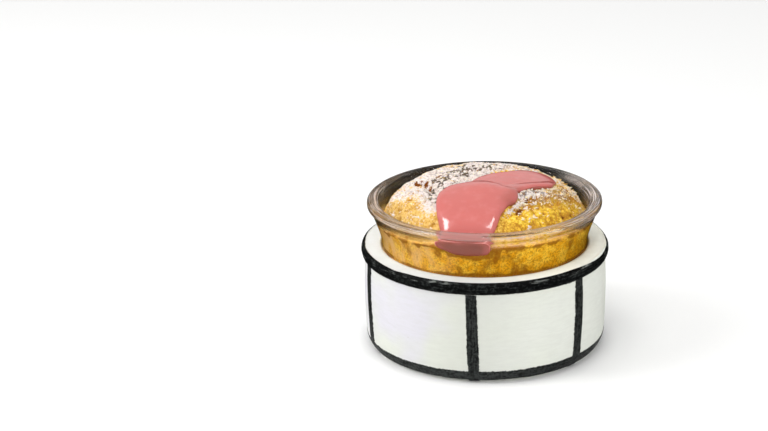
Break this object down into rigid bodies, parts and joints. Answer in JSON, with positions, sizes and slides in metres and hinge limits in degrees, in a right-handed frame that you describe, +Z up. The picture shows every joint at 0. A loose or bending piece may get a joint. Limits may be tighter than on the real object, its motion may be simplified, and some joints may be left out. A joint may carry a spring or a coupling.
{
  "type": "souffle",
  "caption": "Baked domed souffle with fruit cream sauce in a flared glass ramekin, set in a round white ceramic holder with raised black painted lines.",
  "frame": {"origin": "middle of the holder's underside, on the surface it stands on", "axes": "+Z up, the holder's front upright line and the sauce tongue face -Y, +X to the right seen from the front"},
  "size_m": [0.0982, 0.0983, 0.0692],
  "materials": {
    "holder_glaze": "white satin glaze with black brushed lines",
    "ramekin_glass": "clear pressed glass, polished",
    "souffle_crust": "golden baked crumb dusted with icing sugar",
    "fruit_sauce": "smooth pink cream sauce, glossy"
  },
  "bodies": {
    "root": {"holder": "holder_glaze", "glass_ramekin": "ramekin_glass", "souffle": "souffle_crust", "sauce": "fruit_sauce"}
  },
  "joints": []
}
